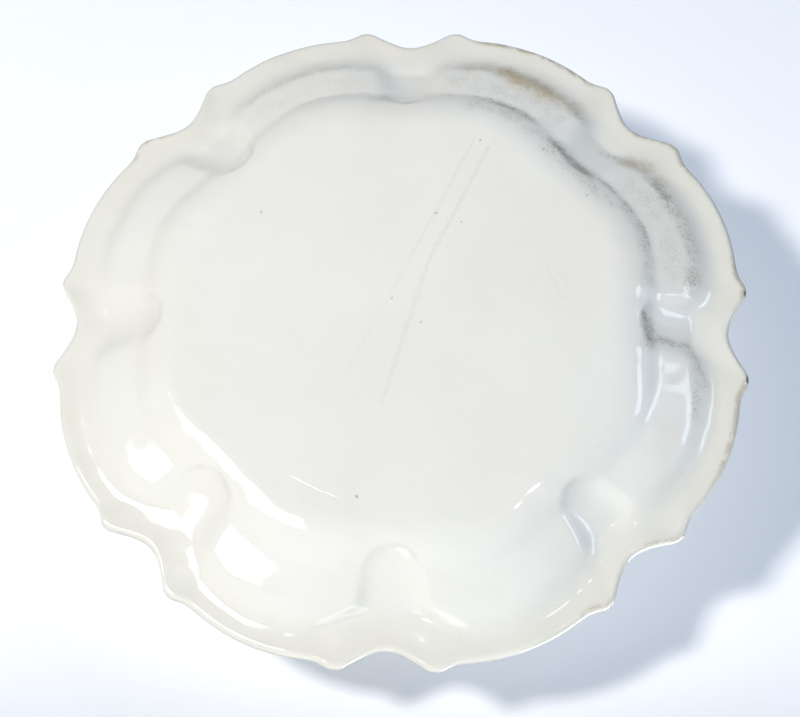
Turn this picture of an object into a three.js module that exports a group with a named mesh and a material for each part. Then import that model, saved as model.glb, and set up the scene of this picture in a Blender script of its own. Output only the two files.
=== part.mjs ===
// A lobed ceramic dish, lying on its base with its front up. Millimetres, +Z up.
// The origin is the middle of the base's underside, and +Y passes through the bottom of a notch.
import * as THREE from 'three';

// The edge, seen from above: arcs joined by notches, with a cusp on each side of a notch
const LOBE_COUNT = 8;
const LOBE_REACH = 170.5; // from the centre to the middle of a lobe's edge
const LOBE_EDGE_RADIUS = 91.5;
const NOTCH_DEPTH = 10.9; // from a lobe's reach in to the bottom of a notch
const NOTCH_BEND = 17; // how round the bottom of a notch is
const NOTCH_SLOPE = 1.04; // rise of a notch's sides for each millimetre sideways
const CUSP_OFFSET = 23.3; // from a notch's middle line to its cusps
const CUSP_RISE = 4.7; // how far a cusp stands out of the lobe's arc
const CUSP_FLARE = 7.25; // length of the flare from the cusp into the arc
const CUSP_BLEND = 0.9; // softness of the cusp's tip

// The wall, the same all over
const WALL = 5.5;

// The step from the flat base up to the ledge: slopes joined by bends
const BASE_REACH = 111.5; // from the centre to the middle of the step's first bend, on average
const BASE_SWING = 2.8; // how far the step swings out at a lobe and in at a notch
const BASE_BEND = 20; // width over which the base bends up into the step
const BASE_SLOPE = 0.44; // rise of the step's inner part for each millimetre outwards
const STEEP_START = 11; // from the first bend to the step's steeper part
const STEEP_BEND = 11;
const STEEP_SLOPE = 0.83;
const FOOT_START = 14.8; // from the first bend to the step's foot on the ledge
const FOOT_BEND = 7;

// The sloping ledge between the two steps
const LEDGE_RISE = 6.6;

// The step from the ledge up to the rim, which follows the lobes
const RIM_STEP_REACH = 149.3; // from the centre to the start of the step, behind a lobe's middle
const RIM_STEP_RADIUS = 72; // radius of the arc that the step follows behind each lobe
const RIM_STEP_WIDTH = 7.8;
const RIM_STEP_SLOPE = 0.74;
const LEDGE_BEND = 12; // width over which the ledge bends up into the step
const RIM_BEND = 13.5; // width over which the step bends into the level rim

// The low swelling of the rim just inside its lip
const SWELL_RISE = 0.6;
const SWELL_INSET = 9; // from the edge to the crest
const SWELL_SPREAD = 6.5;

// The thumb-shaped channel behind each notch: a groove below, a boss above
const THUMB_END = 115.2; // from the centre to the edge of the thumb's round end
const THUMB_HALF_WIDTH = 15.6; // from the thumb's middle line to the edge of its side wall
const THUMB_SPREAD = 0.1; // widening of each side for each millimetre outwards
const THUMB_WALL_WIDTH = 13; // from the edge to the foot of the wall
const THUMB_WALL_POWER = 1.6; // how much steeper the wall is at its edge than on average
const THUMB_EDGE_ROUND = 1; // half the width over which the wall's edge is rounded
const THUMB_START_HEIGHT = 7.4; // height of the floor at the round end
const THUMB_SLOPE = 0.38; // rise of the floor for each millimetre outwards
const THUMB_BLEND = 3; // softness of the line where the floor meets the step at the rim

// How finely the surface is cut: columns from a notch to a lobe's middle, in degrees, and rings
const COLUMN_ANGLES = [0, 2.3, 4.1, 5.7, 6.9, 7.9, 9.2, 11.4, 15.5, 22.5];
const BASE_RINGS = 6;
const LEDGE_RINGS = 2;
const RIM_STEP_RINGS = 4;
const RIM_RINGS = 2;
const LIP_ANGLES = [-50, 0, 50];

const GLAZE_COLOUR = 0xe9e8e2;
const GLAZE_ROUGHNESS = 0.18;

// Derived sizes
const PITCH = (2 * Math.PI) / LOBE_COUNT;
const BASE_RISE = BASE_SLOPE * STEEP_START + STEEP_SLOPE * (FOOT_START - STEEP_START);
const RIM_HEIGHT = BASE_RISE + LEDGE_RISE + RIM_STEP_SLOPE * RIM_STEP_WIDTH;
const LIP_RADIUS = WALL / 2;
const NOTCH_REACH = LOBE_REACH - NOTCH_DEPTH;
// A face parallel to a sloping one meets its bends sooner, by this much on the way out
const FRONT_SHIFT = WALL * Math.tan(Math.atan(BASE_SLOPE) / 2);

// How far a slope of one has risen by x, when it starts level and bends up around 0
function bend(x, width) {
  const share = THREE.MathUtils.clamp(x / width + 0.5, 0, 1);
  return width * share ** 3 * (1 - share / 2) + Math.max(x - width / 2, 0);
}

// The lesser of two values, with a rounded corner where they meet
function softMin(a, b, softness) {
  const mix = THREE.MathUtils.clamp(0.5 + (b - a) / (2 * softness), 0, 1);
  return b + (a - b) * mix - softness * mix * (1 - mix);
}

// The greater of two values, with a rounded corner where they meet
function softMax(a, b, softness) {
  return -softMin(-a, -b, softness);
}

// Angle from the nearest notch's middle line, which is never negative
function angleFromNotch(theta) {
  const turns = (theta - Math.PI / 2) / PITCH;
  return Math.abs(turns - Math.round(turns)) * PITCH;
}

// Radius of an arc that bulges out behind a lobe's middle
function arcBehindLobe(reach, arcRadius, fromLobe) {
  const centre = reach - arcRadius;
  const across = centre * Math.sin(fromLobe);
  return centre * Math.cos(fromLobe) + Math.sqrt(arcRadius ** 2 - across ** 2);
}

// Radius of the dish's edge
function edgeRadius(theta) {
  const fromNotch = angleFromNotch(theta);
  const fromLobe = PITCH / 2 - fromNotch;
  const sideways = LOBE_REACH * Math.sin(fromNotch);
  const pastCusp = Math.max(sideways - CUSP_OFFSET, 0) / CUSP_FLARE;
  const lobe = arcBehindLobe(LOBE_REACH, LOBE_EDGE_RADIUS, fromLobe);
  const cusp = CUSP_RISE * Math.exp(-(pastCusp ** 2));
  const notch = NOTCH_REACH + Math.hypot(NOTCH_BEND, NOTCH_SLOPE * sideways) - NOTCH_BEND;
  return softMin(lobe + cusp, notch, CUSP_BLEND);
}

// Radius of the first bend of the step at the base
function baseRadius(theta) {
  const fromLobe = PITCH / 2 - angleFromNotch(theta);
  return BASE_REACH + BASE_SWING * Math.cos(LOBE_COUNT * fromLobe);
}

// Radius of the start of the step at the rim
function rimStepRadius(theta) {
  const fromLobe = PITCH / 2 - angleFromNotch(theta);
  return arcBehindLobe(RIM_STEP_REACH, RIM_STEP_RADIUS, fromLobe);
}

// How much of the thumb's depth is reached: 1 on its floor, 0 outside its walls
function thumbShare(radius, theta, widening) {
  const fromNotch = angleFromNotch(theta);
  const along = radius * Math.cos(fromNotch) - THUMB_END - THUMB_HALF_WIDTH;
  const across = radius * Math.sin(fromNotch);
  const halfWidth = THUMB_HALF_WIDTH + widening + THUMB_SPREAD * Math.max(along, 0);
  const inside = halfWidth - Math.hypot(across, Math.min(along, 0));
  const onRounding = THREE.MathUtils.clamp(inside, -THUMB_EDGE_ROUND, THUMB_EDGE_ROUND);
  const rounded = (onRounding + THUMB_EDGE_ROUND) ** 2 / (4 * THUMB_EDGE_ROUND);
  const pastRounding = Math.max(inside - THUMB_EDGE_ROUND, 0);
  const share = Math.min((rounded + pastRounding) / THUMB_WALL_WIDTH, 1);
  return 1 - (1 - share) ** THUMB_WALL_POWER;
}

// Height of the two steps and the ledge above the base, without the thumbs
function stepsHeight(pastBase, pastLedge) {
  const ledgeWidth = Math.max(pastBase - pastLedge - FOOT_START, FOOT_BEND);
  const ledgeSlope = LEDGE_RISE / ledgeWidth;
  const start = BASE_SLOPE * bend(pastBase, BASE_BEND);
  const steep = (STEEP_SLOPE - BASE_SLOPE) * bend(pastBase - STEEP_START, STEEP_BEND);
  const foot = (ledgeSlope - STEEP_SLOPE) * bend(pastBase - FOOT_START, FOOT_BEND);
  const rimStep = (RIM_STEP_SLOPE - ledgeSlope) * bend(pastLedge, LEDGE_BEND);
  const rim = -RIM_STEP_SLOPE * bend(pastLedge - RIM_STEP_WIDTH, RIM_BEND);
  return start + steep + foot + rimStep + rim;
}

// Height of a thumb's floor, which runs into the step at the rim
function thumbFloor(pastEnd, steps) {
  const slope = THUMB_START_HEIGHT + THUMB_SLOPE * pastEnd;
  return softMin(softMax(slope, steps, THUMB_BLEND), RIM_HEIGHT, THUMB_BLEND);
}

// Height of the dish's relief above the base, with its bends drawn in by shift towards the centre
function relief(radius, theta, shift) {
  const reach = radius + shift;
  const steps = stepsHeight(reach - baseRadius(theta), reach - rimStepRadius(theta));
  const floor = thumbFloor(reach - THUMB_END, steps);
  const height = THREE.MathUtils.lerp(steps, floor, thumbShare(radius, theta, shift));
  const fromCrest = (edgeRadius(theta) - radius - SWELL_INSET) / SWELL_SPREAD;
  return height + SWELL_RISE * Math.exp(-(fromCrest ** 2));
}

function backHeight(radius, theta) {
  return relief(radius, theta, 0);
}

function frontHeight(radius, theta) {
  return relief(radius, theta, FRONT_SHIFT) + WALL;
}

// Angles of all columns, once around
function columnAngles() {
  const half = COLUMN_ANGLES.map((degrees) => THREE.MathUtils.degToRad(degrees));
  const scale = PITCH / 2 / half[half.length - 1];
  const outward = half.map((angle) => angle * scale);
  const inward = outward.slice(1, -1).map((angle) => PITCH - angle).reverse();
  const angles = [];
  for (let lobe = 0; lobe < LOBE_COUNT; lobe++) {
    const start = Math.PI / 2 + lobe * PITCH;
    angles.push(...[...outward, ...inward].map((angle) => start + angle));
  }
  return angles;
}

// Evenly spaced values after start, up to end
function spread(start, end, count) {
  return Array.from({ length: count }, (_, i) => start + ((end - start) * (i + 1)) / count);
}

// Radii of the rings on one face, from the edge of its flat middle to the lip
function ringRadii(theta, shift) {
  const base = baseRadius(theta) - shift;
  const rimStep = rimStepRadius(theta) - shift;
  const lipStart = edgeRadius(theta) - LIP_RADIUS;
  const baseStart = base - BASE_BEND / 2;
  const baseEnd = base + FOOT_START + FOOT_BEND / 2;
  const rimStart = Math.max(rimStep - LEDGE_BEND / 2, baseEnd + LIP_RADIUS);
  const rimEnd = Math.min(rimStep + RIM_STEP_WIDTH + RIM_BEND / 2, lipStart - LIP_RADIUS);
  return [
    baseStart,
    ...spread(baseStart, baseEnd, BASE_RINGS),
    ...spread(baseEnd, rimStart, LEDGE_RINGS),
    ...spread(rimStart, rimEnd, RIM_STEP_RINGS),
    ...spread(rimEnd, lipStart, RIM_RINGS),
  ];
}

function pointAt(radius, theta, height) {
  return new THREE.Vector3(radius * Math.cos(theta), radius * Math.sin(theta), height);
}

// The points of one column, from the back's flat middle over the lip to the front's
function columnPoints(theta) {
  const back = ringRadii(theta, 0).map((radius) => pointAt(radius, theta, backHeight(radius, theta)));
  const front = ringRadii(theta, FRONT_SHIFT)
    .map((radius) => pointAt(radius, theta, frontHeight(radius, theta)))
    .reverse();
  const lipStart = edgeRadius(theta) - LIP_RADIUS;
  const low = backHeight(lipStart, theta);
  const high = frontHeight(lipStart, theta);
  const lip = LIP_ANGLES.map((degrees) => {
    const turn = THREE.MathUtils.degToRad(degrees);
    const height = (low + high) / 2 + ((high - low) / 2) * Math.sin(turn);
    return pointAt(lipStart + LIP_RADIUS * Math.cos(turn), theta, height);
  });
  return [...back, ...lip, ...front];
}

// One closed skin: rings of points from the back's middle over the lip to the front's middle
function dishGeometry() {
  const columns = columnAngles().map(columnPoints);
  const columnCount = columns.length;
  const ringCount = columns[0].length;
  const points = [];
  for (let ring = 0; ring < ringCount; ring++) {
    points.push(...columns.map((column) => column[ring]));
  }
  const backMiddle = points.push(new THREE.Vector3(0, 0, 0)) - 1;
  const frontMiddle = points.push(new THREE.Vector3(0, 0, WALL)) - 1;

  const faces = [];
  for (let column = 0; column < columnCount; column++) {
    const next = (column + 1) % columnCount;
    faces.push(backMiddle, next, column);
    for (let ring = 0; ring + 1 < ringCount; ring++) {
      const inner = ring * columnCount;
      const outer = inner + columnCount;
      faces.push(inner + column, inner + next, outer + column);
      faces.push(inner + next, outer + next, outer + column);
    }
    const last = (ringCount - 1) * columnCount;
    faces.push(frontMiddle, last + column, last + next);
  }
  const geometry = new THREE.BufferGeometry().setFromPoints(points);
  geometry.setIndex(faces);
  geometry.computeVertexNormals();
  return geometry;
}

const glaze = new THREE.MeshStandardMaterial({
  color: GLAZE_COLOUR,
  roughness: GLAZE_ROUGHNESS,
  metalness: 0,
});

const plate = new THREE.Mesh(dishGeometry(), glaze);
plate.name = 'plate';

const model = new THREE.Group();
model.add(plate);

export default model;
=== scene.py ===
import math

import bpy
import numpy as np
from mathutils import Matrix, Vector


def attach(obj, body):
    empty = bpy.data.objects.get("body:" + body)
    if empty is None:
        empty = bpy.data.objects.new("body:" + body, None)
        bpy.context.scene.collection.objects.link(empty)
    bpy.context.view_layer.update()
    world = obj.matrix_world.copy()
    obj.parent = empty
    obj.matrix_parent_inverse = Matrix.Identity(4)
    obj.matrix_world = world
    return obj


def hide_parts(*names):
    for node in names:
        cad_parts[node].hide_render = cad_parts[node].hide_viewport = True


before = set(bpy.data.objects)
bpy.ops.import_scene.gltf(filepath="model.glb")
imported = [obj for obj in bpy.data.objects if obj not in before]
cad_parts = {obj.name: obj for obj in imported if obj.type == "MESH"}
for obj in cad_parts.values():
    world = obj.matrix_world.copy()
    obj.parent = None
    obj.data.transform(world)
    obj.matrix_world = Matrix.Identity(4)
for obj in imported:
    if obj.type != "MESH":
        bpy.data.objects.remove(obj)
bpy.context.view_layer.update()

MM = 0.001

# The camera, as fitted to the cusps and notches of the edge: axes in the object's frame, place in
# metres
PICTURE = (800, 717)
FOCAL_PIXELS = 1997.4
SENSOR_WIDTH = 36.0
CAMERA_PLACE = Vector((-0.0678, -0.3882, -0.87))
CAMERA_RIGHT = Vector((-0.9975, 0.0396, 0.0578))
CAMERA_BACK = Vector((-0.0686, -0.3855, -0.9202))
CAMERA_CLIP = (0.05, 50)
PIXEL_ROUNDS = 30

# The edge, seen from above, in millimetres
LOBE_COUNT = 8
LOBE_REACH = 170.5
LOBE_EDGE_RADIUS = 91.5
NOTCH_DEPTH = 10.9
NOTCH_BEND = 17
NOTCH_SLOPE = 1.04
CUSP_OFFSET = 23.3
CUSP_RISE = 4.7
CUSP_FLARE = 7.25
CUSP_BLEND = 0.9
WALL = 5.5

# The two steps and the ledge between them: where each bend is, and how wide
BASE_REACH = 111.5
BASE_SWING = 2.8
BASE_BEND = 20
SHARPENING = 9
SHARPEST_AT = math.radians(90 + 225)
SHARPENING_SPREAD = math.radians(40)
SHARPENING_SHIFT = 1 / 8
BASE_SLOPE = 0.44
STEEP_START = 11
STEEP_BEND = 11
STEEP_SLOPE = 0.83
FOOT_START = 14.8
FOOT_BEND = 7
RIM_STEP_REACH = 149.3
RIM_STEP_RADIUS = 72
LEDGE_BEND = 12
RIM_STEP_WIDTH = 7.8
RIM_STEP_SLOPE = 0.74
RIM_BEND = 13.5
LEDGE_RISE = 6.6
SWELL_RISE = 0.6
SWELL_INSET = 9
SWELL_SPREAD = 6.5

# The thumb-shaped channel behind each notch. Lists go clockwise in the picture from its top
THUMB_END = 116.5
THUMB_END_SHIFTS = (0.5, 0, 0, 0.5, -0.8, 0, -3.2, -3.2)
THUMB_SIDEWAYS = (0, 0, -0.4, -1, -3, -2, 0, 0.8)
THUMB_DEPTHS = (1.15, 1, 1, 1.12, 1.12, 0.9, 0.85, 1.45)
THUMB_WIDENINGS = (0, 0, 0, 0, 2, 3.5, 0, 0)
THUMB_HALF_WIDTH = 12.8
THUMB_SPREAD = 0.16
THUMB_WALL_WIDTH = 16
THUMB_WALL_POWER = 2.6
THUMB_SIDE_ROUNDS = (4.5, 4.5, 3, 3.2, 2.2, 4.5, 4.5, 4.5)
THUMB_END_ROUND = 1.4
THUMB_START_HEIGHTS = (7, 7, 7, 7, 7, 10.5, 7, 7)
THUMB_SLOPES = (0.48, 0.48, 0.48, 0.48, 0.48, 0.34, 0.48, 0.48)
THUMB_DIPS = (1, 1, 1, 1, 0, 1.3, 1, 1)
THUMB_FLARE_START = 12
THUMB_FLARES = (0, 0, 0, 0, 2.2, 0.5, 0, 0)
THUMB_BLEND = 2
THUMB_RIM_BLEND = 0.9

# Shallow hollows: angle clockwise in the picture, distance from the middle, depth, spread outwards
# and sideways
HOLLOWS = (
    (206, 148, 1.3, 10, 18),
    (240, 149, 0.5, 9, 14),
)

# Soot along the steps: line, from and to which angle clockwise in the picture from its top, in
# degrees, how far outside the line in millimetres, width of the mark, and strength
SOOT = (
    ("base", 8, 18, 0, 1.6, 0.35),
    ("base", 17, 31, -1, 2.4, 0.75),
    ("base", 14, 34, -7, 5, 0.3),
    ("base", 37, 50, -3.5, 2.8, 1),
    ("base", 34, 60, -8, 4, 0.35),
    ("base", 52, 72, -1, 1.5, 0.6),
    ("base", 60, 80, -3, 4, 0.3),
    ("base", 90, 96, -3, 3, 0.8),
    ("base", 330, 352, 0, 1.3, 0.25),
    ("base", 352, 357, -3, 3.5, 0.45),
    ("rim", 9, 19, 1, 2.2, 0.35),
    ("rim", 18, 30, 0, 4.5, 0.7),
    ("rim", 28, 38, 1, 3, 0.4),
    ("rim", 46, 56, 1, 3, 0.45),
    ("rim", 56, 63, 0, 2.8, 0.9),
    ("rim", 60, 82, -1, 4.5, 0.5),
    ("rim", 94, 108, 0, 3, 0.35),
    ("rim", 326, 352, 1, 2.8, 0.3),
    ("ledge", 8, 36, 0, 10, 0.2),
    ("ledge", 54, 80, 0, 10, 0.2),
    ("ledge", 325, 352, 0, 9, 0.14),
)

# Soot along the lower side of the thumb on the right, from pixel to pixel, with width in millimetres
# and strength
SOOT_LINES = (
    ((644, 314), (651, 336), 7, 0.8),
    ((651, 336), (688, 347), 9, 0.5),
    ((688, 347), (707, 388), 9, 0.4),
)

# Where the lip's glaze is worn through, from and to which angle, and how much
WORN_LIP = (
    (13, 36, 1), (44, 58, 0.6), (76, 84, 0.7), (97, 115, 0.75), (128, 132, 0.7), (143, 147, 0.6),
    (304, 310, 0.7),
)

# Spots: a pixel of the picture, the spot's radius in millimetres, and its strength
STAIN_SPOTS = (
    ((507, 72), 9, 1), ((517, 79), 10, 0.9), ((530, 84), 11, 0.75), ((543, 91), 11, 0.8),
    ((557, 99), 10, 0.6), ((574, 108), 9, 0.5), ((630, 163), 9, 0.6), ((646, 167), 8, 0.5),
    ((470, 68), 9, 0.35), ((488, 67), 9, 0.4), ((660, 182), 7, 0.4),
)
BLISTERS = (
    ((441, 215), 1, 0.8), ((461, 224), 1.3, 0.9), ((457, 219), 0.8, 0.6), ((478, 142), 1.4, 0.8),
    ((484, 138), 0.9, 0.6), ((393, 302), 0.8, 0.6),
)
PINHOLES = (
    ((436, 213), 1.1, 1), ((462, 222), 0.7, 1), ((421, 322), 0.7, 1), ((392, 298), 0.8, 1),
    ((357, 497), 0.9, 1), ((261, 212), 0.7, 1), ((480, 140), 0.8, 1), ((491, 99), 1, 1),
    ((544, 149), 0.8, 1), ((587, 195), 0.7, 1),
)

# Chips of the lip: a pixel by them, how far outside the edge their middle is and their radius, in
# millimetres
CHIPS = (
    ((58, 369), 1, 2), ((67, 278), 1.2, 1.9), ((148, 141), 1.2, 1.9), ((743, 293), 0.8, 2.3),
    ((746, 378), 0.8, 2.8), ((683, 533), 1, 1.5), ((610, 603), 0.8, 1.3), ((172, 601), 1.4, 1.8),
)

# Thin lines, from pixel to pixel, with width in millimetres and strength
RAISED_LINES = (
    ((290, 475), (322, 491), 0.7, 0.8),
    ((324, 491), (352, 503), 0.6, 0.55),
)
GREY_LINES = (
    ((488, 148), (428, 262), 4, 1),
    ((428, 262), (382, 402), 4, 0.9),
    ((474, 140), (408, 262), 3.4, 0.75),
    ((408, 262), (346, 372), 2.4, 0.45),
    ((545, 262), (563, 298), 2, 0.5),
    ((551, 258), (570, 290), 1.6, 0.4),
)

# Slow unevenness of the hand-pressed clay, calmer on the base
WAVE_COUNT = 18
WAVE_LENGTHS = (9, 60)
WAVE_STEEPNESS = 0.0016
WAVE_SEED = 7
WAVE_CALM = 0.35
WAVE_CALM_RADII = (60, 125)

# Soft edges of the marks: past the ends of a stretch in degrees, and across in millimetres
STRETCH_FADE = (-2, 3)
CREASE_WIDTH = 1.2
CREASE_BY_THUMB = (-1, 2)
CREASE_SHARE = 0.08
THUMB_CREASE_INSET = 1
THUMB_CREASE_WIDTH = 1.1
THUMB_CREASE_POWER = 1.5
RIM_MARK_FADE = (-4, 20)

# How far the worn lip spreads, in rings of the skin: towards the back, and over the lip
WORN_RINGS_BACK = 1.2
WORN_RINGS_LIP = 2.4

# Derived sizes
PITCH = 2 * math.pi / LOBE_COUNT
NOTCH_REACH = LOBE_REACH - NOTCH_DEPTH
BASE_RISE = BASE_SLOPE * STEEP_START + STEEP_SLOPE * (FOOT_START - STEEP_START)
RIM_HEIGHT = BASE_RISE + LEDGE_RISE + RIM_STEP_SLOPE * RIM_STEP_WIDTH
LIP_RADIUS = WALL / 2
FRONT_SHIFT = WALL * math.tan(math.atan(BASE_SLOPE) / 2)

# Colours
GLAZE_LIGHT = (0.8, 0.795, 0.755, 1)
GLAZE_WARM = (0.785, 0.772, 0.722, 1)
GLAZE_AT_RIM = (0.745, 0.727, 0.655, 1)
# Dirt, also used as the painted shade in the creases
DIRT_AND_SHADE = (0.3, 0.28, 0.24, 1)
SOOT_VEIL = (0.4, 0.365, 0.29, 1)
SOOT_GRAIN = (0.15, 0.125, 0.085, 1)
STAIN = (0.5, 0.39, 0.22, 1)
# Painted highlight on the raised lines and blisters
RIDGE_HIGHLIGHT = (0.87, 0.86, 0.83, 1)
BODY = (0.42, 0.33, 0.22, 1)
PIT = (0.33, 0.31, 0.28, 1)
# Bare body with painted shade, for the chips
CHIP_IN_SHADE = (0.2, 0.175, 0.15, 1)
BLACK = (0, 0, 0, 1)

# Patterns in the glaze: the noise's scale, detail and roughness, then the levels between which it
# rises, and what it rises from and to
PATTERNS = {
    "cloud": ((14, 4, 0.55), (0.35, 0.65)),
    "thin": ((30, 3), (0.3, 0.7, 0.6, 1)),
    "dust": ((900, 2, 0.7), (0.6, 0.72, 0, 0.12)),
    "patches": ((55, 4, 0.6), (0.38, 0.62, 0.25, 1)),
    "blotches": ((130, 5, 0.7), (0.32, 0.62, 0.3, 1)),
    "veil": ((420, 4, 0.7), (0.3, 0.7, 0.32, 0.78)),
    "stain": ((300, 5, 0.75), (0.35, 0.65, 0.4, 1)),
    "faint": ((1100, 4, 0.8), (0.46, 0.68, 0.04, 0.34)),
    "worn": ((170, 5, 0.7), (0.38, 0.56)),
    "gloss": ((26, 3), (0.35, 0.65, 0.06, 0.1)),
}
GRAIN_NOISE = (1300, 3, 0.85)
GRAIN_PUSH = 0.22
GRAIN_LEVELS = (0.575, 0.69)
GRAIN_START = (0.02, 0.25)
RIPPLE_NOISE = (120, 3, 0.5)
WANDER_SCALE = 420
WANDER_REACH = 2.4 * MM

# How much of its own colour each mark shows at most
CREASE_SHADE_COVER = 0.3
GRAIN_COVER = 0.52
RIDGE_HIGHLIGHT_COVER = 0.8
WORN_COVER = 0.85
PIT_COVER = 0.7

# How much of a spot's radius is at full strength
STAIN_CORE = 0.15
BLISTER_CORE = 0.2
PIT_CORE = 0.35
CHIP_CORE = 0.75

# How the glaze reflects, how matt soot and bare body are, and how deep the ripples are
GLAZE_IOR = 1.5
SOOT_MATT = 0.5
WORN_MATT = 0.6
MATT_ROUGHNESS = 0.5
RIPPLE_DEPTH = 0.25
BUMP_STRENGTH = 0.5
BUMP_DEPTH = 0.2 * MM

# Lamps over the dish's back, which the picture shows: name, azimuth and elevation round the camera,
# width and height in metres, radiance and colour. The key gives the glints, the flash the shadows
BACK_LAMP_DISTANCE = 1.6
BACK_LAMPS = (
    ("key", (-33.5, 16), (0.74, 0.56), 18.2, (1, 0.955, 0.9)),
    ("flash", (-31, 15), (0.2, 0.2), 180, (1, 0.955, 0.9)),
    ("side", (62, 14), (0.9, 0.9), 1.15, (0.55, 0.7, 1)),
    ("window", (56, 22), (0.22, 0.66), 5, (0.8, 0.91, 1)),
    ("strip", (15, 17), (0.1, 0.14), 9, (1, 1, 1)),
    ("bounce", (0, -65), (1.6, 1.0), 2.9, (0.98, 1, 0.99)),
)

# Lamps over the dish's front: name, direction, distance, width and height, radiance and colour
FRONT_LAMPS = (
    ("front_key", (-0.6, -0.5, 0.75), 1.7, (1.0, 0.9), 11.5, (1, 0.985, 0.96)),
    ("front_fill", (0.8, 0.1, 0.5), 1.8, (0.9, 0.9), 3, (0.9, 0.95, 1)),
)

# The room's light, and what the camera sees past the sheets
ROOM_COLOUR = (0.61, 0.77, 0.97, 1)
ROOM_STRENGTH = 0.26
SEEN_COLOUR = (0.9, 0.94, 1, 1)
SEEN_STRENGTH = 0.95

# The sheets round the dish, in metres: place, the way they face, size, colour and glow
FLOOR_PLACE = (0, 0, -0.0006)
FLOOR_NORMAL = (0, 0, 1)
FLOOR_SIZE = 8
FLOOR_COLOUR = (0.34, 0.35, 0.36, 1)
FLOOR_GLOW = (0.52, 0.545, 0.59, 1)
BACKDROP_PLACE = (0, 0, 0.1)
BACKDROP_NORMAL = (-0.08, 0.08, -1)
BACKDROP_SIZE = 1.6
BACKDROP_COLOUR = (0.76, 0.775, 0.8, 1)
BACKDROP_GLOW = (0.195, 0.21, 0.25, 1)

# Shade on the floor, in metres: how far from the dish's middle it fades out, and how far up the
# things reach that give it
CONTACT_NEAR = 0.19
CONTACT_FAR = 0.26
CONTACT_REACH = 0.06
CONTACT_SAMPLES = 8

# The backdrop along Y, in metres: where it is darkest, where it is light again, and how light it is
# where it is darkest
BACKDROP_DARK_AT = -0.24
BACKDROP_LIGHT_AT = -0.11
BACKDROP_SHADE = 0.72

# How finely the glazed skin is cut, with more columns close to the cusps
COLUMNS_PER_LOBE = 120
CROWDING = 1.6
CROWDED_AT = 7
CROWDED_SPREAD = 4.5
CROWDING_STEPS = 400
MIDDLE_RINGS = 24
WALL_RINGS = 66
FRONT_WALL_RINGS = 48
LIP_RINGS = 11


# Shape of the dish, in millimetres
def soft_step(x, start, end):
    x = np.clip((x - start) / (end - start), 0, 1)
    return x * x * (3 - 2 * x)


def bell(x, width):
    return np.exp(-(x / width) ** 2)


def soft_min(a, b, softness):
    mix = np.clip(0.5 + (b - a) / (2 * softness), 0, 1)
    return b + (a - b) * mix - softness * mix * (1 - mix)


def angle_from_notch(theta):
    turns = (theta - math.pi / 2) / PITCH
    return np.abs(turns - np.round(turns)) * PITCH


def arc_behind_lobe(reach, arc_radius, from_lobe):
    centre = reach - arc_radius
    return centre * np.cos(from_lobe) + np.sqrt(arc_radius ** 2 - (centre * np.sin(from_lobe)) ** 2)


def edge_radius(theta):
    from_notch = angle_from_notch(theta)
    sideways = LOBE_REACH * np.sin(from_notch)
    past_cusp = np.maximum(sideways - CUSP_OFFSET, 0)
    lobe = arc_behind_lobe(LOBE_REACH, LOBE_EDGE_RADIUS, PITCH / 2 - from_notch)
    notch = NOTCH_REACH + np.hypot(NOTCH_BEND, NOTCH_SLOPE * sideways) - NOTCH_BEND
    return soft_min(lobe + CUSP_RISE * bell(past_cusp, CUSP_FLARE), notch, CUSP_BLEND)


# How far a slope of one has risen by x, when it starts level and bends up around 0
def bend(x, width):
    share = np.clip(x / width + 0.5, 0, 1)
    return width * share ** 3 * (1 - share / 2) + np.maximum(x - width / 2, 0)


def base_radius(theta):
    from_lobe = PITCH / 2 - angle_from_notch(theta)
    return BASE_REACH + BASE_SWING * np.cos(LOBE_COUNT * from_lobe)


def base_bend(theta):
    away = (theta - SHARPEST_AT + math.pi) % (2 * math.pi) - math.pi
    return BASE_BEND - SHARPENING * bell(away, SHARPENING_SPREAD)


def rim_step_radius(theta):
    return arc_behind_lobe(RIM_STEP_REACH, RIM_STEP_RADIUS, PITCH / 2 - angle_from_notch(theta))


# The value of the thumb that is nearest, from a list clockwise in the picture from its top
def at_thumb(values, theta):
    turns = np.round((theta - math.pi / 2) / PITCH).astype(int)
    return np.asarray(values)[turns % LOBE_COUNT]


# How far a point is inside a thumb's edge, and how far round its end, from 0 along its sides to 1
def thumb_place(radius, theta, widening):
    turns = (theta - math.pi / 2) / PITCH
    from_notch = (turns - np.round(turns)) * PITCH
    end = THUMB_END + at_thumb(THUMB_END_SHIFTS, theta)
    along = radius * np.cos(from_notch) - end - THUMB_HALF_WIDTH
    across = radius * np.sin(from_notch) - at_thumb(THUMB_SIDEWAYS, theta)
    half_width = THUMB_HALF_WIDTH + at_thumb(THUMB_WIDENINGS, theta) + widening
    half_width = half_width + THUMB_SPREAD * np.maximum(along, 0)
    half_width = half_width + at_thumb(THUMB_FLARES, theta) * np.maximum(along - THUMB_FLARE_START, 0)
    inside = half_width - np.hypot(across, np.minimum(along, 0))
    return inside, np.clip(-along / half_width, 0, 1)


def thumb_share(radius, theta, widening):
    inside, round_end = thumb_place(radius, theta, widening)
    side_round = at_thumb(THUMB_SIDE_ROUNDS, theta)
    rounding = side_round + (THUMB_END_ROUND - side_round) * round_end ** 2
    rounded = (np.clip(inside, -rounding, rounding) + rounding) ** 2 / (4 * rounding)
    past_rounding = np.maximum(inside - rounding, 0)
    share = np.minimum((rounded + past_rounding) / THUMB_WALL_WIDTH, 1)
    return at_thumb(THUMB_DEPTHS, theta) * (1 - (1 - share) ** THUMB_WALL_POWER)


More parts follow.
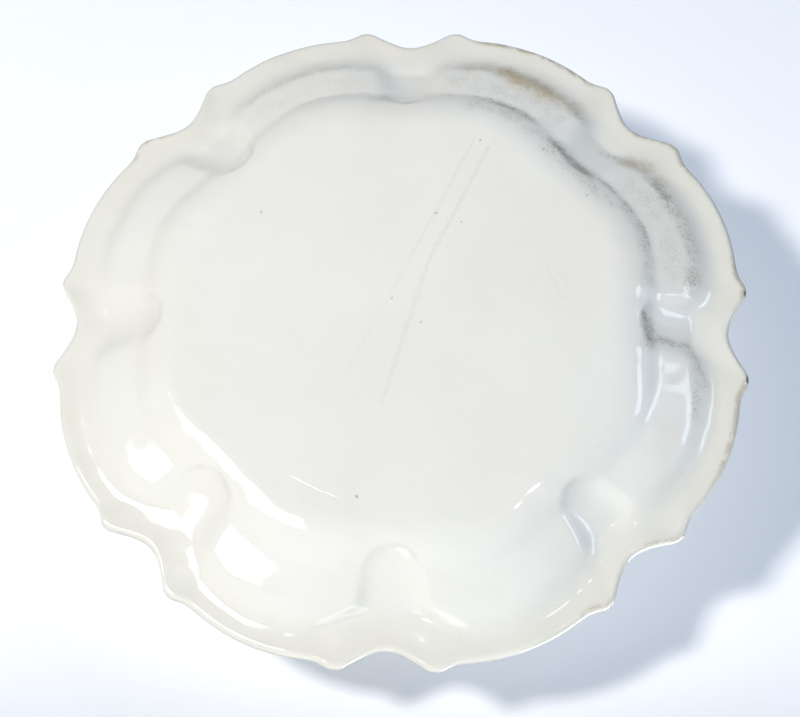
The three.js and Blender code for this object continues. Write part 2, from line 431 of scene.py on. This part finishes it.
def relief(radius, theta, shift):
    past_base = radius + shift - base_radius(theta)
    past_ledge = radius + shift - rim_step_radius(theta)
    ledge_width = np.maximum(rim_step_radius(theta) - base_radius(theta) - FOOT_START, FOOT_BEND)
    ledge_slope = LEDGE_RISE / ledge_width
    sharper = base_bend(theta)
    steps = BASE_SLOPE * bend(past_base + SHARPENING_SHIFT * (BASE_BEND - sharper), sharper)
    steps = steps + (STEEP_SLOPE - BASE_SLOPE) * bend(past_base - STEEP_START, STEEP_BEND)
    steps = steps + (ledge_slope - STEEP_SLOPE) * bend(past_base - FOOT_START, FOOT_BEND)
    steps = steps + (RIM_STEP_SLOPE - ledge_slope) * bend(past_ledge, LEDGE_BEND)
    steps = steps - RIM_STEP_SLOPE * bend(past_ledge - RIM_STEP_WIDTH, RIM_BEND)
    past_end = radius + shift - THUMB_END
    floor = at_thumb(THUMB_START_HEIGHTS, theta) + at_thumb(THUMB_SLOPES, theta) * past_end
    floor = -soft_min(-floor, -steps, THUMB_BLEND)
    floor = soft_min(floor, RIM_HEIGHT - at_thumb(THUMB_DIPS, theta), THUMB_RIM_BLEND)
    height = steps + (floor - steps) * thumb_share(radius, theta, shift)
    for angle, reach, depth, spread, length in HOLLOWS:
        turned = theta - math.radians(90 + angle)
        outwards, sideways = radius * np.cos(turned) - reach, radius * np.sin(turned)
        height = height - depth * bell(outwards, spread) * bell(sideways, length)
    return height + SWELL_RISE * bell(edge_radius(theta) - radius - SWELL_INSET, SWELL_SPREAD)


def unevenness(radius, theta):
    rng = np.random.default_rng(WAVE_SEED)
    x, y = radius * np.cos(theta), radius * np.sin(theta)
    height = 0
    for length in np.geomspace(*WAVE_LENGTHS, WAVE_COUNT):
        direction, phase = rng.uniform(0, 2 * math.pi, 2)
        along = x * math.cos(direction) + y * math.sin(direction)
        height = height + WAVE_STEEPNESS * length * np.sin(2 * math.pi * along / length + phase)
    return height * (WAVE_CALM + (1 - WAVE_CALM) * soft_step(radius, *WAVE_CALM_RADII))


def back_height(radius, theta):
    return relief(radius, theta, 0) + unevenness(radius, theta)


def front_height(radius, theta):
    return relief(radius, theta, FRONT_SHIFT) + unevenness(radius, theta) + WALL


# The camera's right, up and back, at right angles
def camera_axes():
    up = CAMERA_BACK.cross(CAMERA_RIGHT).normalized()
    back = CAMERA_BACK.normalized()
    right = up.cross(back).normalized()
    return right, up, back


# Where a pixel of the picture meets the dish's back, in millimetres
def on_back(column, row):
    right, up, back = camera_axes()
    across = (column - PICTURE[0] / 2) / FOCAL_PIXELS
    down = (row - PICTURE[1] / 2) / FOCAL_PIXELS
    ray = right * across - up * down - back
    start = CAMERA_PLACE / MM
    height = 0.0
    for _ in range(PIXEL_ROUNDS):
        point = start + ray * ((height - start.z) / ray.z)
        radius, theta = math.hypot(point.x, point.y), math.atan2(point.y, point.x)
        radius = min(radius, float(edge_radius(theta)))
        height = (height + float(back_height(radius, theta))) / 2
    return point


# The place outside the lip nearest to a pixel
def by_lip(column, row, outside):
    point = on_back(column, row)
    theta = math.atan2(point.y, point.x)
    reach = float(edge_radius(theta)) + outside
    height = float(back_height(reach - outside, theta)) + WALL / 4
    return Vector((reach * math.cos(theta), reach * math.sin(theta), height))


# The glazed skin
def column_angles():
    offsets = np.linspace(0, PITCH / 2, CROWDING_STEPS)
    crowding = 1 + CROWDING * bell(np.degrees(offsets) - CROWDED_AT, CROWDED_SPREAD)
    share = np.concatenate([[0], np.cumsum((crowding[1:] + crowding[:-1]) / 2)])
    half = np.interp(np.linspace(0, share[-1], COLUMNS_PER_LOBE // 2 + 1), share, offsets)
    lobe = np.concatenate([half, PITCH - half[-2:0:-1]])
    return np.concatenate([math.pi / 2 + i * PITCH + lobe for i in range(LOBE_COUNT)])


def skin_points():
    theta = column_angles()
    edge = edge_radius(theta)
    lip_start = edge - LIP_RADIUS
    wall_start = base_radius(theta) - BASE_BEND / 2
    rings = []

    def add(radius, height):
        x, y = radius * np.cos(theta), radius * np.sin(theta)
        rings.append(np.stack([x, y, height + 0 * radius], -1))

    for share in np.linspace(0, 1, MIDDLE_RINGS + 1)[1:]:
        add(wall_start * share, back_height(wall_start * share, theta))
    for share in np.linspace(0, 1, WALL_RINGS + 1)[1:]:
        radius = wall_start + (lip_start - wall_start) * share
        add(radius, back_height(radius, theta))
    low, high = back_height(lip_start, theta), front_height(lip_start, theta)
    for turn in np.linspace(-math.pi / 2, math.pi / 2, LIP_RINGS + 2)[1:-1]:
        height = (low + high) / 2 + (high - low) / 2 * math.sin(turn)
        add(lip_start + LIP_RADIUS * math.cos(turn), height)
    wall_start = wall_start - FRONT_SHIFT
    for share in np.linspace(1, 0, FRONT_WALL_RINGS + 1)[:-1]:
        radius = wall_start + (lip_start - wall_start) * share
        add(radius, front_height(radius, theta))
    for share in np.linspace(1, 0, MIDDLE_RINGS + 1)[:-1]:
        add(wall_start * share, front_height(wall_start * share, theta))
    return np.array(rings)


def skin_faces(ring_count, column_count):
    faces = []
    back_middle = ring_count * column_count
    front_middle = back_middle + 1
    last = (ring_count - 1) * column_count
    for column in range(column_count):
        following = (column + 1) % column_count
        faces.append((back_middle, following, column))
        faces.append((front_middle, last + column, last + following))
        for ring in range(ring_count - 1):
            inner, outer = ring * column_count, (ring + 1) * column_count
            faces.append((inner + column, inner + following, outer + following, outer + column))
    return faces


# Angle clockwise in the picture from its top, in degrees
def picture_angle(theta):
    return np.degrees(theta - math.pi / 2) % 360


# Marks of age, and painted shade with dirt in the creases, on the skin, as shares from 0 to 1 at each
# point
def stretch(angle, start, end):
    away = np.abs((angle - (start + end) / 2 + 180) % 360 - 180)
    past_end = away - (end - start) / 2
    return 1 - soft_step(past_end, *STRETCH_FADE)


def soot_marks(radius, theta):
    angle = picture_angle(theta)
    foot, rim = base_radius(theta) + FOOT_START, rim_step_radius(theta)
    lines = {"base": foot, "rim": rim, "ledge": (foot + rim) / 2}
    soot = 0
    for line, start, end, outside, width, strength in SOOT:
        share = stretch(angle, start, end) * bell(radius - lines[line] - outside, width)
        soot = np.maximum(soot, strength * share)
    return soot


# Painted shade with dirt: darker along the foot of the base step and round the thumbs' ends
def crease_shade_marks(radius, theta):
    foot = bell(radius - base_radius(theta) - FOOT_START, CREASE_WIDTH)
    inside, round_end = thumb_place(radius, theta, 0)
    thumb = bell(inside - THUMB_CREASE_INSET, THUMB_CREASE_WIDTH) * round_end ** THUMB_CREASE_POWER
    return np.maximum(foot * (1 - soft_step(inside, *CREASE_BY_THUMB)) * CREASE_SHARE, thumb)


def rim_marks(radius, theta):
    return soft_step(radius - rim_step_radius(theta), *RIM_MARK_FADE)


def worn_marks(theta):
    angle = picture_angle(theta)
    return np.max([share * stretch(angle, start, end) for start, end, share in WORN_LIP], axis=0)


def add_marks(mesh, rings):
    radius = np.hypot(rings[..., 0], rings[..., 1])
    theta = np.arctan2(rings[..., 1], rings[..., 0])
    past_lip = np.arange(len(rings))[:, None] - MIDDLE_RINGS - WALL_RINGS
    behind = past_lip < LIP_RINGS // 2
    lip_width = np.where(past_lip < 0, WORN_RINGS_BACK, WORN_RINGS_LIP)
    marks = {
        "soot": soot_marks(radius, theta) * behind,
        "crease_shade": crease_shade_marks(radius, theta) * behind,
        "rim": rim_marks(radius, theta),
        "back": behind + 0 * radius,
        "lip": bell(past_lip, lip_width) * worn_marks(theta),
    }
    for name, share in marks.items():
        values = np.concatenate([share.ravel(), [0, 0]])
        mesh.attributes.new(name, "FLOAT", "POINT").data.foreach_set("value", values)


def make_dish():
    rings = skin_points()
    ring_count, column_count = rings.shape[:2]
    middles = np.array([[0, 0, back_height(0, 0)], [0, 0, front_height(0, 0)]])
    points = np.concatenate([rings.reshape(-1, 3), middles]) * MM
    mesh = bpy.data.meshes.new("dish")
    mesh.from_pydata(points.tolist(), [], skin_faces(ring_count, column_count))
    mesh.polygons.foreach_set("use_smooth", np.ones(len(mesh.polygons), dtype=bool))
    add_marks(mesh, rings)
    mesh.update()
    dish = bpy.data.objects.new("dish", mesh)
    bpy.context.collection.objects.link(dish)
    return dish


# A node tree that is written as sums
class Tree:
    def __init__(self, material):
        material.use_nodes = True
        self.nodes, self.links = material.node_tree.nodes, material.node_tree.links
        self.place = self.add("ShaderNodeTexCoord").outputs["Object"]

    def add(self, kind, inputs=None):
        node = self.nodes.new(kind)
        for name, value in (inputs or {}).items():
            self.join(node.inputs[name], value)
        return node

    def join(self, socket, value):
        if isinstance(value, bpy.types.NodeSocket):
            self.links.new(value, socket)
        else:
            socket.default_value = value

    def math(self, operation, *values):
        node = self.nodes.new("ShaderNodeMath")
        node.operation = operation
        for socket, value in zip(node.inputs, values):
            self.join(socket, value)
        return node.outputs[0]

    def vector(self, operation, *values):
        node = self.nodes.new("ShaderNodeVectorMath")
        node.operation = operation
        for socket, value in zip(node.inputs, values):
            self.join(socket, value)
        is_number = operation in ("DOT_PRODUCT", "DISTANCE", "LENGTH")
        return node.outputs["Value" if is_number else "Vector"]

    def highest(self, values):
        total = 0.0
        for value in values:
            total = self.math("MAXIMUM", total, value)
        return total

    def spread(self, value, start, end, low=0.0, high=1.0):
        levels = {"From Min": start, "From Max": end, "To Min": low, "To Max": high}
        return self.add("ShaderNodeMapRange", {"Value": value, **levels})

    def ramp(self, value, start, end, low=0.0, high=1.0):
        node = self.spread(value, start, end, low, high)
        node.interpolation_type = "SMOOTHSTEP"
        return node.outputs[0]

    def noise(self, scale, detail=3.0, roughness=0.5):
        inputs = {"Vector": self.place, "Scale": scale, "Detail": detail, "Roughness": roughness}
        return self.add("ShaderNodeTexNoise", inputs)

    def level(self, noise):
        return self.noise(*noise).outputs["Fac"]

    def pattern(self, name):
        noise, levels = PATTERNS[name]
        return self.ramp(self.level(noise), *levels)

    def mix(self, share, low, high):
        node = self.nodes.new("ShaderNodeMix")
        node.data_type = "RGBA"
        for socket, value in ((node.inputs[0], share), (node.inputs[6], low), (node.inputs[7], high)):
            self.join(socket, value)
        return node.outputs[2]

    def mark(self, name):
        node = self.nodes.new("ShaderNodeAttribute")
        node.attribute_name = name
        return node.outputs["Fac"]

    # Shares of round spots: full up to their core, none from their radius on
    def spots(self, place, entries, core):
        shares = []
        for centre, radius, strength in entries:
            away = self.vector("DISTANCE", place, centre * MM)
            share = self.ramp(away, radius * MM * core, radius * MM, 1, 0)
            shares.append(self.math("MULTIPLY", share, strength))
        return self.highest(shares)

    # Share of a thin line: full along its middle, none from half its width on
    def line(self, place, start, end, width):
        length = (end - start).length
        direction = (end - start) / length
        along = self.vector("DOT_PRODUCT", self.vector("SUBTRACT", place, start), direction)
        along = self.math("MINIMUM", self.math("MAXIMUM", along, 0.0), length)
        steps = self.add("ShaderNodeCombineXYZ", {"X": along, "Y": along, "Z": along}).outputs[0]
        nearest = self.vector("MULTIPLY_ADD", steps, direction, start)
        return self.ramp(self.vector("DISTANCE", place, nearest), 0, width / 2, 1, 0)

    def lines(self, place, entries):
        shares = []
        for start, end, width, strength in entries:
            share = self.line(place, on_back(*start) * MM, on_back(*end) * MM, width * MM)
            shares.append(self.math("MULTIPLY", share, strength))
        return self.highest(shares)

    # The object's place, pushed about by noise, so that what it shapes isn't quite round
    def wandering(self, scale, reach):
        push = self.vector("SUBTRACT", self.noise(scale).outputs["Color"], (0.5, 0.5, 0.5))
        return self.vector("MULTIPLY_ADD", push, (reach, reach, reach), self.place)


# Glaze
def soot_share(tree):
    soot = tree.math("MAXIMUM", tree.mark("soot"), tree.lines(tree.place, SOOT_LINES))
    return tree.math("MULTIPLY", soot, tree.pattern("blotches"))


def grain_share(tree, soot):
    level = tree.math("ADD", tree.level(GRAIN_NOISE), tree.math("MULTIPLY", soot, GRAIN_PUSH))
    return tree.math("MULTIPLY", tree.ramp(level, *GRAIN_LEVELS), tree.ramp(soot, *GRAIN_START))


def back_spots(entries):
    return [(on_back(*pixel), radius, strength) for pixel, radius, strength in entries]


def glaze_material():
    material = bpy.data.materials.new("glaze")
    tree = Tree(material)
    shader = tree.nodes["Principled BSDF"]
    wander = tree.wandering(WANDER_SCALE, WANDER_REACH)

    colour = tree.mix(tree.pattern("cloud"), GLAZE_LIGHT, GLAZE_WARM)
    thin = tree.math("MULTIPLY", tree.mark("rim"), tree.pattern("thin"))
    colour = tree.mix(thin, colour, GLAZE_AT_RIM)

    # Fine grey dust in the glaze, and painted shade with dirt along the creases
    colour = tree.mix(tree.pattern("dust"), colour, DIRT_AND_SHADE)
    crease_shade = tree.math("MULTIPLY", tree.mark("crease_shade"), tree.pattern("patches"))
    colour = tree.mix(tree.math("MULTIPLY", crease_shade, CREASE_SHADE_COVER), colour, DIRT_AND_SHADE)

    # Soot: a thin veil and dense fine grains, both in blotches
    soot = soot_share(tree)
    colour = tree.mix(tree.math("MULTIPLY", soot, tree.pattern("veil")), colour, SOOT_VEIL)
    grains = grain_share(tree, soot)
    colour = tree.mix(tree.math("MULTIPLY", grains, GRAIN_COVER), colour, SOOT_GRAIN)

    # Brown stains, on the back only
    stain = tree.spots(wander, back_spots(STAIN_SPOTS), STAIN_CORE)
    stain = tree.math("MULTIPLY", stain, tree.pattern("stain"))
    colour = tree.mix(tree.math("MULTIPLY", stain, tree.mark("back")), colour, STAIN)

    # Thin lines on the base, some of them raised. The raised lines and the blisters get a painted
    # highlight, lighter than the glaze, as well as their bump
    faint = tree.math("MULTIPLY", tree.lines(wander, GREY_LINES), tree.pattern("faint"))
    colour = tree.mix(faint, colour, DIRT_AND_SHADE)
    blisters = tree.spots(wander, back_spots(BLISTERS), BLISTER_CORE)
    raised = tree.math("MAXIMUM", tree.lines(tree.place, RAISED_LINES), blisters)
    colour = tree.mix(tree.math("MULTIPLY", raised, RIDGE_HIGHLIGHT_COVER), colour, RIDGE_HIGHLIGHT)

    # Bare body where the glaze is worn off the lip, pinholed, and chipped off the cusps. The chips
    # are painted darker than the bare body, as painted shade in them
    worn = tree.math("MULTIPLY", tree.mark("lip"), tree.pattern("worn"))
    colour = tree.mix(tree.math("MULTIPLY", worn, WORN_COVER), colour, BODY)
    pits = tree.spots(wander, back_spots(PINHOLES), PIT_CORE)
    colour = tree.mix(tree.math("MULTIPLY", pits, PIT_COVER), colour, PIT)
    chip_spots = [(by_lip(*pixel, outside), radius, 1) for pixel, outside, radius in CHIPS]
    chips = tree.spots(wander, chip_spots, CHIP_CORE)
    colour = tree.mix(chips, colour, CHIP_IN_SHADE)
    tree.join(shader.inputs["Base Color"], colour)

    matt = tree.math("MAXIMUM", chips, tree.math("MULTIPLY", grains, SOOT_MATT))
    matt = tree.math("MAXIMUM", matt, tree.math("MULTIPLY", worn, WORN_MATT))
    matt = tree.math("MULTIPLY", matt, MATT_ROUGHNESS)
    tree.join(shader.inputs["Roughness"], tree.math("ADD", tree.pattern("gloss"), matt))
    tree.join(shader.inputs["IOR"], GLAZE_IOR)

    height = tree.math("MULTIPLY", tree.level(RIPPLE_NOISE), RIPPLE_DEPTH)
    height = tree.math("SUBTRACT", height, pits)
    height = tree.math("SUBTRACT", height, chips)
    height = tree.math("ADD", height, raised)
    bump = {"Height": height, "Strength": BUMP_STRENGTH, "Distance": BUMP_DEPTH}
    tree.join(shader.inputs["Normal"], tree.add("ShaderNodeBump", bump).outputs["Normal"])
    return material


# Camera
def make_camera():
    camera = bpy.data.objects.new("camera", bpy.data.cameras.new("camera"))
    bpy.context.collection.objects.link(camera)
    turn = Matrix(camera_axes()).transposed()
    camera.matrix_world = Matrix.Translation(CAMERA_PLACE) @ turn.to_4x4()
    camera.data.sensor_fit = "HORIZONTAL"
    camera.data.sensor_width = SENSOR_WIDTH
    camera.data.lens = SENSOR_WIDTH * FOCAL_PIXELS / PICTURE[0]
    camera.data.clip_start, camera.data.clip_end = CAMERA_CLIP
    bpy.context.scene.camera = camera


# Direction at an azimuth and elevation seen from the dish, where 0, 0 is towards the camera
def round_camera(azimuth, elevation):
    right, up, back = camera_axes()
    a, e = math.radians(azimuth), math.radians(elevation)
    return right * (math.sin(a) * math.cos(e)) + up * math.sin(e) + back * (math.cos(a) * math.cos(e))


# A soft box that faces the dish. Its radiance is what a mirror would show of it
def soft_box(name, direction, up, distance, size, radiance, colour):
    data = bpy.data.lights.new(name, "AREA")
    data.shape = "RECTANGLE"
    data.size, data.size_y = size
    data.energy = radiance * math.pi * size[0] * size[1]
    data.color = colour
    lamp = bpy.data.objects.new(name, data)
    bpy.context.collection.objects.link(lamp)
    back = direction.normalized()
    across = up.cross(back).normalized()
    turn = Matrix((across, back.cross(across), back)).transposed()
    lamp.matrix_world = Matrix.Translation(back * distance) @ turn.to_4x4()
    lamp.visible_camera = False
    return lamp


def make_lamps():
    up = camera_axes()[1]
    lamps = {}
    for name, angles, size, radiance, colour in BACK_LAMPS:
        direction = round_camera(*angles)
        lamps[name] = soft_box(name, direction, up, BACK_LAMP_DISTANCE, size, radiance, colour)
    lamps["key"].visible_diffuse = False
    lamps["flash"].visible_glossy = False
    for name, direction, distance, size, radiance, colour in FRONT_LAMPS:
        soft_box(name, Vector(direction), Vector((0, 0, 1)), distance, size, radiance, colour)


# World and stage
def make_world():
    world = bpy.data.worlds.new("studio")
    bpy.context.scene.world = world
    world.use_nodes = True
    nodes, links = world.node_tree.nodes, world.node_tree.links
    nodes.clear()
    path = nodes.new("ShaderNodeLightPath")
    room = nodes.new("ShaderNodeBackground")
    room.inputs["Color"].default_value = ROOM_COLOUR
    room.inputs["Strength"].default_value = ROOM_STRENGTH
    seen = nodes.new("ShaderNodeBackground")
    seen.inputs["Color"].default_value = SEEN_COLOUR
    seen.inputs["Strength"].default_value = SEEN_STRENGTH
    mix = nodes.new("ShaderNodeMixShader")
    output = nodes.new("ShaderNodeOutputWorld")
    links.new(path.outputs["Is Camera Ray"], mix.inputs["Fac"])
    links.new(room.outputs[0], mix.inputs[1])
    links.new(seen.outputs[0], mix.inputs[2])
    links.new(mix.outputs[0], output.inputs["Surface"])


# How light a sheet is where something stands close above it: less than 1 only near the dish
def contact_shade(tree):
    beyond = tree.spread(tree.vector("LENGTH", tree.place), CONTACT_NEAR, CONTACT_FAR)
    covered = tree.add("ShaderNodeAmbientOcclusion", {"Distance": CONTACT_REACH})
    covered.samples = CONTACT_SAMPLES
    return tree.math("MAXIMUM", covered.outputs["AO"], beyond.outputs[0])


# How light the backdrop is: less towards its foot
def low_shade(tree):
    position = tree.add("ShaderNodeNewGeometry").outputs["Position"]
    y = tree.add("ShaderNodeSeparateXYZ", {"Vector": position}).outputs["Y"]
    return tree.ramp(y, BACKDROP_DARK_AT, BACKDROP_LIGHT_AT, BACKDROP_SHADE, 1)


# A pale sheet that shows on one side only and takes shadows but casts none
def sheet_material(name, colour, glow, shading):
    material = bpy.data.materials.new(name)
    tree = Tree(material)
    tree.nodes.remove(tree.nodes["Principled BSDF"])
    shade = shading(tree)
    lit = tree.add("ShaderNodeBsdfDiffuse", {"Color": tree.mix(shade, BLACK, colour)})
    shine = tree.add("ShaderNodeEmission", {"Color": glow, "Strength": shade})
    pale = tree.add("ShaderNodeAddShader")
    tree.links.new(lit.outputs[0], pale.inputs[0])
    tree.links.new(shine.outputs[0], pale.inputs[1])
    backfacing = tree.add("ShaderNodeNewGeometry").outputs["Backfacing"]
    by_camera = tree.add("ShaderNodeLightPath").outputs["Is Camera Ray"]
    shown = tree.math("MULTIPLY", tree.math("SUBTRACT", 1.0, backfacing), by_camera)
    mix = tree.add("ShaderNodeMixShader", {"Fac": shown})
    tree.links.new(tree.add("ShaderNodeBsdfTransparent").outputs[0], mix.inputs[1])
    tree.links.new(pale.outputs[0], mix.inputs[2])
    tree.links.new(mix.outputs[0], tree.nodes["Material Output"].inputs["Surface"])
    return material


def make_sheet(name, centre, normal, size, material):
    mesh = bpy.data.meshes.new(name)
    half = size / 2
    corners = [(-half, -half, 0), (half, -half, 0), (half, half, 0), (-half, half, 0)]
    mesh.from_pydata(corners, [], [(0, 1, 2, 3)])
    mesh.materials.append(material)
    sheet = bpy.data.objects.new(name, mesh)
    bpy.context.collection.objects.link(sheet)
    turn = Vector(normal).to_track_quat("Z", "Y").to_matrix()
    sheet.matrix_world = Matrix.Translation(centre) @ turn.to_4x4()


dish = make_dish()
dish.data.materials.append(glaze_material())
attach(dish, "root")
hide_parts("plate")

make_camera()
make_lamps()
make_world()
floor_material = sheet_material("floor", FLOOR_COLOUR, FLOOR_GLOW, contact_shade)
make_sheet("floor", FLOOR_PLACE, FLOOR_NORMAL, FLOOR_SIZE, floor_material)
backdrop_material = sheet_material("backdrop", BACKDROP_COLOUR, BACKDROP_GLOW, low_shade)
make_sheet("backdrop", BACKDROP_PLACE, BACKDROP_NORMAL, BACKDROP_SIZE, backdrop_material)

bpy.context.scene.view_settings.view_transform = "Standard"
